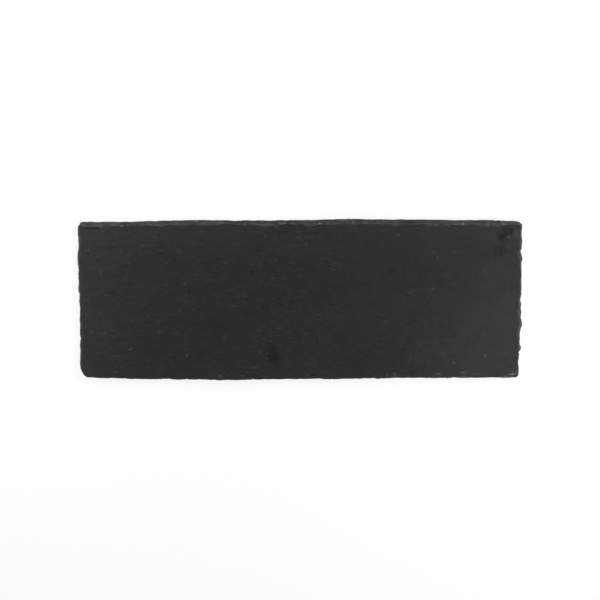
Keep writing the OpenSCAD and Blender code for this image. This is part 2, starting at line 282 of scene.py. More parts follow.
# Marks in the broken strip along the far rim, partly painted light: painted highlights on small facets,
# and painted shadow in its cracks: [x, how far in from the rim, half length, half width, how much
# lighter or darker].
STRIP_MARKS = [
    (-194, 1.8, 1.8, 0.8, 0.5), (-166, 1.2, 3.6, 0.6, 0.8), (-160, 3, 0.9, 0.6, 1.3),
    (-149, 0.9, 2.4, 0.5, 0.5), (-144, 1.4, 1, 0.4, 0.8), (-140, 3.1, 2.2, 0.4, 0.7),
    (-136, 0.9, 1.2, 0.5, 1.5), (-134.5, 3, 1.4, 0.6, 1.1), (-118, 2.2, 1, 0.6, -0.5),
    (-110.8, 1.2, 1, 1, 1.1), (-105.5, 0.6, 2.2, 0.4, 0.6), (-93.5, 0.4, 1.2, 0.5, 1.1),
    (-89.5, 1, 0.6, 0.8, -0.5), (-80, 1.2, 0.6, 0.7, -0.5), (-74.5, 2.8, 1.2, 0.6, 1.5),
    (-71, 1.6, 2.5, 0.6, 0.8), (-59, 3, 2.5, 0.9, -0.4), (-55, 2.7, 1, 0.5, 1.2),
    (-49.5, 2.9, 1.2, 0.8, 1.2), (-41.5, 2.3, 1.4, 0.4, 0.8), (-34.5, 0.6, 1, 0.6, 0.9),
    (-29.5, 2.9, 7, 0.4, 0.7), (-24, 1, 1.2, 0.6, -0.6), (-17, 2.2, 2, 0.6, 1.4),
    (-14.5, 1.4, 1, 0.8, 1.6), (-7, 2.6, 3, 0.5, 0.8), (1, 3.2, 2, 0.7, -0.6),
    (15, 1.3, 0.8, 1, -0.6), (17.5, 2.9, 0.9, 0.9, 2.3), (21, 2.7, 0.8, 0.8, -0.5),
    (24.5, 2.7, 1.8, 0.5, 1), (41.5, 1.3, 1.3, 0.8, 0.6), (47.5, 2.2, 0.9, 1.1, 1.2),
    (48, 3.8, 0.8, 0.7, 0.9), (60.5, 1.9, 2.4, 0.4, 0.5), (76, 1.3, 0.6, 1.2, -0.5),
    (84, 2.2, 1.4, 0.4, 0.6), (98.5, 1.9, 4, 1.8, -0.4), (105, 1, 0.7, 1, -0.6),
    (122, 4, 1.6, 0.7, 1.5), (118.5, 3.6, 0.9, 0.8, -0.5), (125.5, 3.6, 0.9, 0.8, -0.5),
    (141, 3.2, 2.2, 0.6, 0.5), (145.5, 2.6, 1, 0.9, 2.5), (150.5, 0.4, 1.8, 0.4, 0.8),
    (157, 1, 1, 0.8, -0.5), (174, 2.8, 2, 0.5, 0.6), (180, 0.6, 1.6, 0.7, 1.7),
    (181.5, 2.7, 1.4, 1, 1.3), (195, 1.8, 1.2, 0.7, 1.1),
]
# Pits and specks of the face, in the units of CLOUDS. Their light and dark spots, often side by side,
# are partly painted light and shade: the lit and shaded sides of the pits and humps.
FACE_MARKS = [
    (104.5, 232.5, 1.3, 1, 1), (107.3, 232.5, 1.1, 1.1, -0.7), (91.3, 255, 1.2, 1.2, 1.1),
    (122, 252, 1.2, 3, 0.8), (143, 247, 1.3, 1.3, 1.4), (146, 247, 1, 1, -0.45),
    (161.5, 251.3, 4.5, 1.2, 0.5), (162, 254.3, 4, 0.9, -0.35), (179, 250, 2, 1, 0.5),
    (181.7, 248.5, 1.2, 1.4, -0.45), (166, 263.5, 1.5, 1, 1.1), (166, 260.8, 1.2, 1, -0.4),
    (175, 259.5, 3, 0.9, -0.4), (98, 262, 4, 0.9, -0.35), (129.8, 263, 1.1, 2.2, 0.7),
    (131, 260, 1.7, 1.7, -0.4), (101, 272.5, 1.2, 4.5, 0.5), (106, 296.2, 1.8, 0.9, 1),
    (113.7, 293.7, 1.1, 2.5, -0.4), (184.5, 285, 1.8, 1.8, 0.6), (189, 291, 2.2, 2, -0.4),
    (202, 232.3, 3, 0.9, 0.5), (104, 334, 1.9, 1, 0.9), (147.5, 317.5, 1.4, 1.2, 1),
    (158.5, 333, 1.4, 1.2, 0.65), (160, 335, 1.3, 1.2, -0.4), (129.3, 350, 1.2, 1.2, 1.7),
    (145.5, 359.5, 1, 3.5, 0.5), (172.8, 357.5, 2, 2, -0.4), (186.4, 355, 0.9, 1.3, 2.3),
    (114, 372.8, 1.9, 1, 0.6), (265.5, 237.3, 1.9, 1.5, 0.9), (267, 239, 1.6, 1, -0.4),
    (298, 238, 2.2, 0.9, 0.9), (305.9, 245, 1.2, 1.2, 0.9), (226, 263.5, 1.3, 0.9, 0.7),
    (233, 244.5, 8, 0.9, 0.4), (230, 290.3, 3, 1.2, 0.25), (246, 297, 3.5, 0.9, 0.5),
    (246, 299.5, 3, 0.9, -0.35), (232.5, 306, 3, 1, 0.5), (234, 308.8, 3, 1, -0.35),
    (251.5, 273, 1.2, 2.2, -0.4), (262.3, 280.3, 1.1, 1, 0.8), (260.3, 282.3, 1, 1, 0.8),
    (260.3, 280.3, 1, 1, -0.4), (273.5, 278.5, 2.3, 0.9, 0.8), (284, 294, 2.5, 1, -0.4),
    (292, 301.5, 2.5, 1, -0.4), (293, 263.5, 1.8, 0.9, 0.9), (333, 270.3, 1.9, 0.9, 0.9),
    (335.5, 269, 1.2, 0.9, -0.4), (325.8, 262, 1, 3, -0.35), (224, 339, 2.5, 1, 0.6),
    (226.5, 341, 2, 1, -0.35), (270, 341.8, 1.9, 1, 0.9), (268, 343.5, 1.1, 2, -0.4),
    (277, 336, 6, 1, 0.4), (271, 357.5, 3, 2, -0.12), (259.2, 352.5, 1, 1, 2.8),
    (253.5, 368.3, 6, 0.9, 0.7), (256, 370.5, 4, 0.9, -0.3), (219, 376.5, 2.5, 1.1, 1.5),
    (242, 376.6, 1.4, 1, 1.6), (307.5, 375.5, 3, 0.9, 0.9), (313.5, 374.8, 2.6, 1.4, -0.7),
    (373.5, 372, 2, 1.3, -0.4), (387.5, 375, 1.9, 1.1, 1), (394.3, 374.2, 1.6, 1.1, 1.2),
    (412.5, 374, 0.9, 1.9, -0.75), (439, 374, 2.8, 1, 1), (462.8, 373.3, 1.6, 1, 1.2),
    (465.3, 375.2, 1.3, 1, 1.1), (479, 375, 11, 0.9, 0.4), (398, 235.3, 2.1, 0.9, 0.9),
    (394, 246, 1.9, 0.9, 0.5), (389.5, 272.5, 3.5, 0.9, -0.35), (432.5, 253, 1.3, 1.3, 0.6),
    (436.8, 258, 1.4, 1.3, 0.9), (454.5, 252.5, 1.9, 1, 0.5), (446, 275.5, 2.5, 1.2, 0.5),
    (432, 289.5, 2.8, 1, 0.9), (435.5, 290.5, 1.6, 1, -0.35), (409.8, 293.3, 2.2, 0.9, 0.8),
    (407, 296, 3.5, 1.2, -0.35), (427, 302, 1.2, 3, -0.35), (378, 317.5, 5, 1.2, -0.35),
    (383, 319.3, 4, 1.4, -0.4), (385, 321.7, 3, 0.9, 0.5), (420.5, 327.5, 2.5, 1, -0.45),
    (350, 341.5, 1, 2.2, 0.4), (401, 347, 1.5, 1.1, 0.6), (411, 358.5, 2, 1.2, 0.5),
    (443.4, 353, 1, 1.2, 1.3), (454, 363.4, 2.2, 0.9, 1.5), (448.8, 356.5, 1.6, 1.6, -0.35),
    (453.5, 337, 3.2, 2.8, -0.25), (484.8, 353, 1.1, 1, -0.55), (485.1, 355.6, 1.3, 1, 1.8),
    (506, 353.5, 1.3, 1.3, 0.5), (515, 327, 1.2, 1.1, 1.2), (516.3, 305, 1.3, 3, -0.4),
    (518.8, 303, 1, 3, 0.9), (517, 312, 2, 1.6, 0.1), (517.3, 345, 1, 4, -0.6),
    (516.8, 359, 1.2, 1.8, -0.9), (515.5, 249, 1, 2, -0.35), (483, 335, 1, 5, 0.3),
    (89.8, 250, 0.9, 3, 0.5), (88.5, 255, 1, 1.2, -0.8), (81.5, 240.5, 1.6, 1, 0.4),
    (83, 244.3, 1.3, 0.9, 0.7), (82.3, 262.5, 1.2, 1, -0.5), (82, 280, 2.2, 1.6, 0.3),
    (85, 319, 1.2, 1.2, 0.45), (87, 321, 1, 2, -0.4), (86, 326, 1.6, 1.8, 0.45),
    (90, 331.5, 3.5, 0.9, 0.3), (83, 336.5, 1.1, 2, 0.7), (82.8, 356.5, 0.9, 2.5, 0.7),
    (100, 335, 4, 0.9, 0.35), (103.5, 337, 0.9, 2.4, 0.35), (99, 314.5, 2, 1, 0.45),
    (103, 321, 1, 1.4, 0.4), (123, 227, 1.5, 1, 1.9), (502, 284, 2.2, 1, -0.4),
    (506, 283.5, 1.7, 1.1, 0.4), (478.7, 286.2, 1.5, 1, -0.35), (483, 272, 1, 4, 0.28),
    (508.5, 259.5, 1.2, 1.8, -0.3), (511.5, 262.8, 2, 1, 0.3), (516.3, 248.5, 1, 1.5, -0.4),
    (517.5, 266, 2, 3, 0.25),
]
# Where the broken outline steps in (+) or stands out (-) a little more than the chance roughness:
# [pixel across, pixel down, half length and half width in pixels, mm].
NOTCHES = [
    # The left-hand end.
    (80, 225, 5, 2.4, 0.8), (79, 231, 5, 3, -0.25), (79, 241, 5, 6, -0.2),
    (78.5, 254.5, 5, 4, -0.35), (79, 264.5, 5, 3, -0.45), (80, 271, 5, 1.8, 0.25),
    (80, 289.5, 5, 4.5, -0.35), (80, 304, 5, 2.5, -0.25), (80, 321.5, 5, 3.5, -0.4),
    (80, 336, 5, 2, -0.3), (81, 340, 5, 1.5, 0.4), (81, 347, 5, 3, -0.3), (82, 364.5, 5, 3.5, -0.4),
    (82, 373, 5, 2.2, 0.7),
    # The right-hand end.
    (520, 231, 5, 5, -0.7), (520, 243.5, 5, 3, -0.4), (519, 248.5, 5, 2, -0.4),
    (519, 253, 5, 1.5, 0.4), (520, 260, 5, 3.5, -0.5), (520, 282, 5, 4, 0.2),
    (520, 296, 5, 3, -0.3), (519, 305, 5, 2, -0.5), (520, 313, 5, 2.8, -0.5),
    (519, 318.8, 5, 1.6, 0.5), (520, 326, 5, 2.4, -0.6), (519, 349.5, 5, 2.8, -0.8),
    (518, 363.5, 5, 3, 0.5),
    # The near edge.
    (89, 376, 3, 5, 0.65), (103, 376, 6, 5, -0.3), (128, 376, 3, 5, -0.4), (179, 376, 6, 5, -0.5),
    (210, 376, 4, 5, -0.75), (249.5, 376, 2.5, 5, -0.55), (269, 376, 4, 5, -0.45),
    (293, 376, 4, 5, -0.35), (378, 376, 3.5, 5, -0.55), (400, 376, 3.5, 5, -0.45),
    (416.5, 376, 6, 5, -0.5), (440, 376, 2, 5, 0.3), (449.5, 376, 3, 5, -0.6),
    (477, 376, 4, 5, -0.45), (505, 376, 5, 5, -0.45),
    # The far edge.
    (81.5, 221, 4.5, 6, -0.75), (184, 221, 2, 6, 0.25), (246, 221, 4, 6, -0.35),
    (261.5, 221, 5, 6, -0.45), (280, 221, 4, 6, -0.35), (292.5, 221, 4, 6, -0.35),
    (326, 221, 3.5, 6, -0.25), (337, 221, 3, 6, -0.25), (494, 221, 1.5, 6, 0.4),
]


def outline_of(mesh, bottom):
    """The slab's outline on its underside, as points in order, anticlockwise from above."""
    places, edges = {}, {}
    for polygon in mesh.polygons:
        corners = [mesh.vertices[v].co / MM for v in polygon.vertices]
        if max(c.z for c in corners) > bottom + SAME_HEIGHT:
            continue
        keys = [(round(c.x, 3), round(c.y, 3)) for c in corners]
        for key, c in zip(keys, corners):
            places.setdefault(key, (c.x, c.y))
        # An edge that a second face runs along the other way isn't on the outline.
        for a, b in zip(keys, keys[1:] + keys[:1]):
            if not edges.pop((b, a), False):
                edges[(a, b)] = True
    following = dict(edges.keys())
    start = next(iter(following))
    loop, here = [start], following[start]
    while here != start:
        loop.append(here)
        here = following[here]
    points = np.array([places[key] for key in loop])
    x, y = points.T
    twice_area = np.sum(x * np.roll(y, -1) - y * np.roll(x, -1))
    return points if twice_area > 0 else points[::-1]


def four_sides(outline):
    """The outline's near, right, far and left sides, each running towards +X or +Y."""
    signs = {"near left": (-1, -1), "near right": (1, -1), "far right": (1, 1), "far left": (-1, 1)}
    corner = {name: int(np.argmax(outline @ np.array(sign))) for name, sign in signs.items()}

    def stretch(first, last):
        steps = (corner[last] - corner[first]) % len(outline)
        return outline[(corner[first] + np.arange(steps + 1)) % len(outline)]

    return (
        stretch("near left", "near right"), stretch("near right", "far right"),
        stretch("far right", "far left")[::-1], stretch("far left", "near left")[::-1],
    )


def spread(curve, shares):
    """Points at these shares of a curve's length."""
    lengths = np.r_[0, np.cumsum(np.hypot(*np.diff(curve, axis=0).T))]
    lengths /= lengths[-1]
    return np.stack([np.interp(shares, lengths, values) for values in curve.T], axis=1)


def stations(length):
    """Distances across the slab, close together at both rims, and which of them the middle has."""
    halves = 2 * round((length - 2 * RIM[-1]) / STEP)
    inner = np.linspace(RIM[-1], length - RIM[-1], halves + 1)
    places = np.r_[RIM[:-1], inner, [length - r for r in RIM[-2::-1]]]
    main = np.ones(len(places), dtype=bool)
    main[len(RIM):-len(RIM):2] = False
    return places, main


def top_net(low, high):
    """The net of points over the slab's top, fitted to the outline of its CAD solid."""
    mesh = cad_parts["slate_slab"].data
    near, right, far, left = four_sides(outline_of(mesh, low.z))
    length, width = high.x - low.x, high.y - low.y
    across, row_main = stations(width)
    along, column_main = stations(length)
    u, v = along / length, across / width
    near_line, far_line = spread(near, u), spread(far, u)
    left_line, right_line = spread(left, v), spread(right, v)
    U, V = u[None, :, None], v[:, None, None]
    grid = (
        (1 - V) * near_line[None] + V * far_line[None]
        + (1 - U) * left_line[:, None] + U * right_line[:, None]
        - (1 - U) * (1 - V) * near_line[0] - U * (1 - V) * near_line[-1]
        - (1 - U) * V * far_line[0] - U * V * far_line[-1]
    )
    net = SimpleNamespace(across=across, along=along, row_main=row_main, column_main=column_main)
    net.rows, net.columns = len(across), len(along)
    net.x, net.y = grid[..., 0], grid[..., 1]
    net.left, net.near = np.meshgrid(along, across)
    net.right, net.far = length - net.left, width - net.near
    net.long, net.short = np.minimum(net.near, net.far), np.minimum(net.left, net.right)
    net.rim = np.minimum(net.long, net.short)
    net.run = net.x + net.y  # goes on round the corners, mm for mm along each edge
    return net


def averaged(field, reach, axis):
    """A field averaged over this many cells to either side, along one axis."""
    kernel = np.hanning(2 * reach + 3)[1:-1]
    kernel = kernel / kernel.sum()
    pads = [(reach, reach) if a == axis else (0, 0) for a in (0, 1)]
    padded = np.pad(field, pads, mode="edge")
    return np.apply_along_axis(lambda line: np.convolve(line, kernel, "valid"), axis, padded)


def layer_at(depth):
    """The number of the layer that lies at this depth below the top face."""
    return np.clip(np.searchsorted(LAYERS, depth) - 1, 0, len(LAYERS) - 2)


def layered(depth, x, y):
    """Turns a slope into treads and risers along the slate's layers."""
    shift = 0.3 * waves(x, y, (45, 45), seed=21) + 0.12 * waves(x, y, (9, 9), seed=22, layer=0.8)
    k = layer_at(depth + shift)
    bottom, top = LAYERS[k], LAYERS[k + 1]
    rise = (depth + shift - bottom) / (top - bottom)
    stepped = bottom + (top - bottom) * smooth(RISER_FROM, 1.0, rise) - shift
    return (1 - ALONG_LAYERS) * depth + ALONG_LAYERS * np.maximum(stepped, 0)


def cad_depth(net, low, high):
    """How deep the CAD solid's chips and hollows are, below the top face, at each point."""
    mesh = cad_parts["slate_slab"].data
    tree = BVHTree.FromPolygons(
        [v.co / MM for v in mesh.vertices], [tuple(p.vertices) for p in mesh.polygons]
    )
    above, down = high.z + 5, Vector((0, 0, -1))
    deepest, underside_skin = high.z - 3, low.z + 0.05

    def height(x, y):
        # A ray by the very rim can miss the solid, so the next starts a little further in.
        for pull in (0.0002, 0.001, 0.002, 0.004, 0.008, 0.016):
            hit = tree.ray_cast(Vector((x * (1 - pull), y * (1 - pull * 2), above)), down)[0]
            if hit is not None and hit.z > underside_skin:
                return hit.z
        return deepest

    flat = [height(x, y) for x, y in zip(net.x.ravel(), net.y.ravel())]
    return high.z - np.array(flat).reshape(net.x.shape)


def chip_depth(net, depth, thickness):
    """The CAD solid's chips, evened out, ragged, rough, and cut along the slate's layers."""
    # The scars run into each other along an edge, so the bite between two chips is evened out.
    reach = round(EVEN_REACH / (STEP / 2))
    by_long = smooth(*OFF_CORNER, net.short - net.long) * (1 - smooth(*CHIPS_END, net.long))
    by_short = smooth(*OFF_CORNER, net.long - net.short) * (1 - smooth(*CHIPS_END, net.short))
    depth = (
        depth + EVEN_LONG * by_long * (averaged(depth, reach, axis=1) - depth)
        + EVEN_SHORT * by_short * (averaged(depth, reach, axis=0) - depth)
    )
    # Each depth is read from a place that is shifted a little.
    shake_y = np.minimum(1, net.long) * (
        0.55 * waves(net.run, net.y, (5.5, 1.6), seed=5, layer=5.3)
        + 0.32 * waves(net.run, net.y, (1.9, 1.1), seed=6, layer=5.7)
    )
    shake_x = np.minimum(1, net.short) * (
        0.5 * waves(net.x, net.run, (1.6, 4.5), seed=3, layer=0.3)
        + 0.3 * waves(net.x, net.run, (1.1, 1.9), seed=4, layer=0.7)
    )
    for i in range(net.columns):
        depth[:, i] = np.interp(net.across + shake_y[:, i], net.across, depth[:, i])
    for j in range(net.rows):
        depth[j] = np.interp(net.along + shake_x[j], net.along, depth[j])
    # The broken stone's grain runs along the edge.
    chipped = smooth(CHIP_FROM, ALL_CHIP, depth)
    rough = (
        0.42 * waves(net.run, net.rim, (8, 1.3), seed=31, octaves=3, layer=1.5)
        + 0.1 * waves(net.x, net.y, (0.9, 0.9), seed=35, layer=2.5)
    )
    roughened = np.clip(depth + chipped * rough, SKIN, thickness - LEFT_OVER)
    depth = np.where(depth > CHIP_FROM, roughened, 0)
    return np.where(depth > CHIP_FROM, layered(depth, net.x, net.y), 0), chipped


def split_depth(net, depth):
    """The splits along the far edge."""
    x = net.x[-1]
    # How far in from the far rim the chips go, up to where they are only this deep.
    shallow = 0.06
    bite = np.array([
        np.interp(shallow, depth[-BAND - 1:, i], RIM[BAND::-1]) for i in range(net.columns)
    ])
    split = np.zeros_like(depth)
    for first, last, place, deep, half in SPLITS:
        run = smooth(first, first + 3, x) * (1 - smooth(last - 3, last, x))
        wander = 0.3 * waves(x, 0.5, (4, 1), seed=81)
        at = (place or bite + 0.35) + wander - 0.02 * (x - first) * bool(place)
        split = np.maximum(split, deep * run * np.exp(-((net.far - at) / half) ** 2))
    return split


def warped(net, reach, size, seed):
    """The net's places, each moved a little, so that what is laid over them isn't round."""
    return (
        net.x + reach * waves(net.x, net.y, (size, size), seed, layer=0.2),
        net.y + reach * waves(net.x, net.y, (size, size), seed + 1, layer=7.2),
    )


def face_relief(net):
    """The cleft face: broad waves, terraces where a layer ends, scars of lost flakes, ripples."""
    x, y = net.x, net.y
    warp_x = x + 5 * waves(x, y, (22, 14), seed=41, layer=9.1)
    warp_y = y + 2.5 * waves(x, y, (26, 11), seed=42, layer=9.7)
    wave = WAVE * waves(x, y, (85, 34), seed=43, octaves=2, layer=0.2)
    rise = 0.5 * waves(warp_x, warp_y, (70, 19), seed=45, octaves=4, layer=0.6) / TREAD
    terrace = TREAD * (np.floor(rise) + smooth(0.7, 1.0, rise - np.floor(rise)))
    large = waves(warp_x, warp_y, (17, 8), seed=91, octaves=3, layer=12.3)
    small = waves(x, y, (6.5, 3.6), seed=94, octaves=2, layer=14.9)
    scars = LARGE_SCAR * smooth(0.33, 0.4, large) + SMALL_SCAR * smooth(0.42, 0.52, small)
    ripple = (
        RIPPLE * waves(warp_x, warp_y, (13, 2.7), seed=47, octaves=3, layer=0.9)
        + FINE_RIPPLE * waves(x, y, (3, 2.4), seed=52, layer=1.9)
    )
    busy = waves(x, y, (60, 30), seed=51, octaves=2, layer=3.3) - QUIETER_RIGHT * x
    share = QUIETEST + (1 - QUIETEST) * smooth(-0.35, 0.5, busy)
    relief = wave + share * (0.5 * terrace + ripple - scars)
    return relief - relief.max() - SKIN, share * scars


def hand_marks(net):
    """What the listed marks change, as shade, and as depth where a flake is gone. Their light and dark
    spots are partly painted light: painted highlights and glints on chips and on the lit sides of pits,
    and painted shade in pits, cracks and dents.
    """
    loose = warped(net, reach=1.6, size=4, seed=83)
    close_x, close_y = warped(net, reach=0.45, size=1.7, seed=87)
    dents = spots(*warped(net, reach=1.1, size=3.2, seed=89), DENTS, blur=0.1)
    marks = spots(close_x, close_y, END_MARKS, blur=0.35)
    marks += spots(close_x, net.far + close_y - net.y, STRIP_MARKS, blur=0.35)
    marks += spots(close_x, close_y, in_mm(FACE_MARKS), blur=0.15)
    marks *= np.where(marks > 0, STRONGER_LIGHT, 1)
    # The dents are painted darker, as painted shade.
    shade = marks + spots(*loose, PATCHES, blur=0.5) + DENT_SHADE * dents
    shade += spots(*loose, in_mm(CLOUDS), blur=0.9)
    tint = spots(*loose, [OLIVE_SPOT], blur=0.5)
    return shade, tint, dents + MARK_DEPTH * np.clip(-marks, -0.5, 1)


def painted_rim_light(net):
    """Painted light: the slate is painted a little lighter towards its sides and rims, as if more light
    fell there, and most of all along the near rim.
    """
    towards = (
        (PAINTED_LIGHT_LEFT, -net.x), (PAINTED_LIGHT_RIGHT, net.x), (PAINTED_LIGHT_FAR, net.y), (PAINTED_LIGHT_NEAR, -net.y),
    )
    shade = sum(amount * smooth(start, stop, place) for (start, stop, amount), place in towards)
    for (full, none, amount), distance in ((PAINTED_LIGHT_NEAR_RIM, net.near), (PAINTED_LIGHT_END_RIMS, net.short)):
        shade = shade + amount * (1 - smooth(full, none, distance))
    return shade


def ragged(x, y, z, low, high):
    """How far the broken edge is in from the CAD solid's at a point of the wall."""
    at_end = smooth(-ENDS_FROM, -ENDS_FULL, np.abs(x) - (high.x - low.x) / 2)
    ends = (
        at_end * np.where(x > 0, END_NOTCHES_RIGHT, END_NOTCHES_LEFT)
        + NEAR_NOTCHES * (y < 0) * (1 - at_end)
    )
    notch = smooth(0.1, 0.7, waves(x + y, z, (2.3, 3.5), seed=64))
    notch = notch + 0.5 * smooth(0, 0.6, waves(x + y, z, (5, 5), seed=65, layer=1.5))
    k = layer_at(high.z - z + 0.22 * waves(x, y, (60, 60), seed=21))
    layer = 0.5 + 0.5 * waves(x, y, (6.5, 6.5), seed=61, layer=k * LAYERS_APART)
    crumbs = 0.5 + 0.5 * waves(x, y, (1.3, 1.3), seed=62, layer=z / 0.5)
    lip = np.maximum(0, waves(x, y, (7, 7), seed=63, octaves=2, layer=4.4) + 0.05)
    lip = lip * np.clip(1 - (z - low.z) / 1.1, 0, 1)
    lower = np.clip((high.z - z) / 1.5, 0, 1)
    layers = (LAYER_IN + LAYER_IN_LOWER * lower) * layer * layer
    # Calmer round the corners, where the two edges' unevenness meets.
    away = smooth(1, 8, np.maximum(high.x - np.abs(x), high.y - np.abs(y)))
    uneven = layers + CRUMBS_IN * crumbs + (NOTCH_IN + NOTCH_IN_ENDS * ends) * notch
    by = away * uneven + CORNER_IN * (1 - away) + LIP_IN * lip
    return np.clip(by + spots(x, y, in_mm(NOTCHES), blur=0.6), STANDS_OUT, STEPS_IN)


def faded(distance, to_corner):
    """How much of the rim's raggedness reaches a point this far in: further in near a corner."""
    by_corner = 1 - smooth(0, CORNER_REACH, to_corner)
    return np.clip(1 - distance / (RIM_GIVES + CORNER_GIVES * by_corner), 0, 1)


def top_faces(net):
    """Which points of the net the top uses, their numbers, and its faces."""
    last_row, last_column = net.rows - 1, net.columns - 1
    in_long = np.zeros(net.rows, dtype=bool)
    in_long[:BAND + 1] = in_long[last_row - BAND:] = True
    in_short = np.zeros(net.columns, dtype=bool)
    in_short[:BAND + 1] = in_short[last_column - BAND:] = True
    keep = (net.row_main[:, None] | in_short[None]) & (net.column_main[None] | in_long[:, None])
    ids = np.full(keep.shape, -1)
    ids[keep] = np.arange(keep.sum())
    numbers, kept = ids.tolist(), keep.tolist()

    def cells(rows, columns):
        for j, j_next in zip(rows, rows[1:]):
            for i, i_next in zip(columns, columns[1:]):
                round_it = (
                    [(j, k) for k in range(i, i_next)]
                    + [(k, i_next) for k in range(j, j_next)]
                    + [(j_next, k) for k in range(i_next, i, -1)]
                    + [(k, i) for k in range(j_next, j, -1)]
                )
                yield [numbers[a][b] for a, b in round_it if kept[a][b]]

    every_row, every_column = list(range(net.rows)), list(range(net.columns))
    middle_rows = every_row[BAND:last_row - BAND + 1]
    middle_columns = every_column[BAND:last_column - BAND + 1]
    main_rows = [j for j in middle_rows if net.row_main[j]]
    main_columns = [i for i in middle_columns if net.column_main[i]]
    faces = [
        *cells(every_row[:BAND + 1], every_column),
        *cells(every_row[last_row - BAND:], every_column),
        *cells(middle_rows, every_column[:BAND + 1]),
        *cells(middle_rows, every_column[last_column - BAND:]),
        *cells(main_rows, main_columns),
    ]
    return keep, ids, faces


def rim_ring(net):
    """The net's rim, anticlockwise from the near left corner, and the side of each of its steps."""
    top, end = net.rows - 1, net.columns - 1
    ring = (
        [(0, i) for i in range(end)] + [(j, end) for j in range(top)]
        + [(top, i) for i in range(end, 0, -1)] + [(j, 0) for j in range(top, 0, -1)]
    )
    return tuple(np.array(ring).T), ["near"] * end + ["right"] * top + ["far"] * end + ["left"] * top


def underside(ring, ring_ids, count, low, high):
    """A looser net under the slab, level where the feet are stuck on: its new points and faces."""
    lattice = np.array([
        (x, y)
        for x in np.arange(low.x + UNDER_FROM, high.x - UNDER_TO, UNDER_STEP)
        for y in np.arange(low.y + UNDER_FROM, high.y - UNDER_TO, UNDER_STEP)
    ])
    gap = np.min([np.hypot(*(lattice - p).T) for p in ring[::3]], axis=0)
    lattice = lattice[gap > UNDER_GAP]
    rim_edges = [(i, (i + 1) % len(ring)) for i in range(len(ring))]
    flat = [Vector(p) for p in np.concatenate([ring, lattice])]
    inside_only, tolerance = 2, 1e-6
    places, _, net, sources, _, _ = delaunay_2d_cdt(flat, rim_edges, [], inside_only, tolerance)
    lookup, extra = {}, []
    for i, (place, source) in enumerate(zip(places, sources)):
        if source and source[0] < len(ring):
            lookup[i] = int(ring_ids[source[0]])
        else:
            lookup[i] = count + len(extra)
            extra.append(place)
    x, y = np.array([tuple(p) for p in extra]).T
    discs = [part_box(name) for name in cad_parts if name.startswith("adhesive_disc")]
    middles = [(a + b) / 2 / MM for a, b in discs]
    clear = np.min([np.hypot(x - m.x, y - m.y) for m in middles], axis=0)
    raised = UNDER_RISE * waves(x, y, (40, 17), seed=71, octaves=4, layer=7.7) + UNDER_RISE
    z = low.z + smooth(LEVEL_TO, UNEVEN_FROM, clear) * np.maximum(raised, 0)
    return np.stack([x, y, z], axis=-1), [[lookup[i] for i in reversed(face)] for face in net]


def bake_map(mesh, sides):
    """Lays the top, the underside and the four walls side by side on one map."""
    scale = 0.99 / ((cad_high.x - cad_low.x) / MM)
    layout = {  # side: (axis across, axis up, stretch up, middle across, start up)
        "top": (0, 1, 1, 0.5, 0.195), "under": (0, 1, 1, 0.5, 0.575),
        "far": (0, 2, 4, 0.5, 0.775), "near": (0, 2, 4, 0.5, 0.845),
        "left": (1, 2, 4, 0.2, 0.915), "right": (1, 2, 4, 0.6, 0.915),
    }
    side = np.repeat(np.array(sides), [p.loop_total for p in mesh.polygons])
    corner = np.empty(len(mesh.loops), dtype=np.int32)
    mesh.loops.foreach_get("vertex_index", corner)
    places = np.empty(len(mesh.vertices) * 3)
    mesh.vertices.foreach_get("co", places)
    places = places.reshape(-1, 3)[corner] / MM
    uv = np.zeros((len(corner), 2), dtype=np.float32)
    for name, (u_axis, v_axis, stretch, u_start, v_start) in layout.items():
        mine = side == name
        uv[mine, 0] = u_start + places[mine, u_axis] * scale
        uv[mine, 1] = v_start + places[mine, v_axis] * scale * stretch
    mesh.uv_layers.new(name="OFBake").data.foreach_set("uv", uv.ravel())


def pulled_in(net, z, low, high):
    """The top's places, pulled in by the wall's unevenness, and its share in that along x and y."""
    in_left, in_right = faded(net.left, net.long), faded(net.right, net.long)
    in_near, in_far = faded(net.near, net.short), faded(net.far, net.short)
    from_left, from_right, from_near, from_far = [
        ragged(net.x[edge], net.y[edge], z[edge], low, high)
        for edge in (np.s_[:, 0], np.s_[:, -1], np.s_[0], np.s_[-1])
    ]
    x = net.x + from_left[:, None] * in_left - from_right[:, None] * in_right
    y = net.y + from_near[None] * in_near - from_far[None] * in_far
    x, y = np.clip(x, low.x, high.x), np.clip(y, low.y, high.y)
    return x, y, in_left - in_right, in_near - in_far


def slab_mesh(parts, faces, sides):
    """One closed mesh with its bake map and its point attributes."""
    points, *attributes = [np.concatenate(values) for values in zip(*parts)]
    mesh = bpy.data.meshes.new("slate_slab_riven")
    mesh.from_pydata((points * MM).tolist(), [], faces)
    bake_map(mesh, sides)
    for name, values in zip(("fresh", "shade", "tint", "rim"), attributes):
        kind, key = ("FLOAT_VECTOR", "vector") if values.ndim == 2 else ("FLOAT", "value")
        mesh.attributes.new(name, kind, "POINT").data.foreach_set(key, values.ravel())
    mesh.polygons.foreach_set("use_smooth", np.ones(len(mesh.polygons), dtype=bool))
    mesh.set_sharp_from_angle(angle=CREASE)
    mesh.validate()
    return mesh


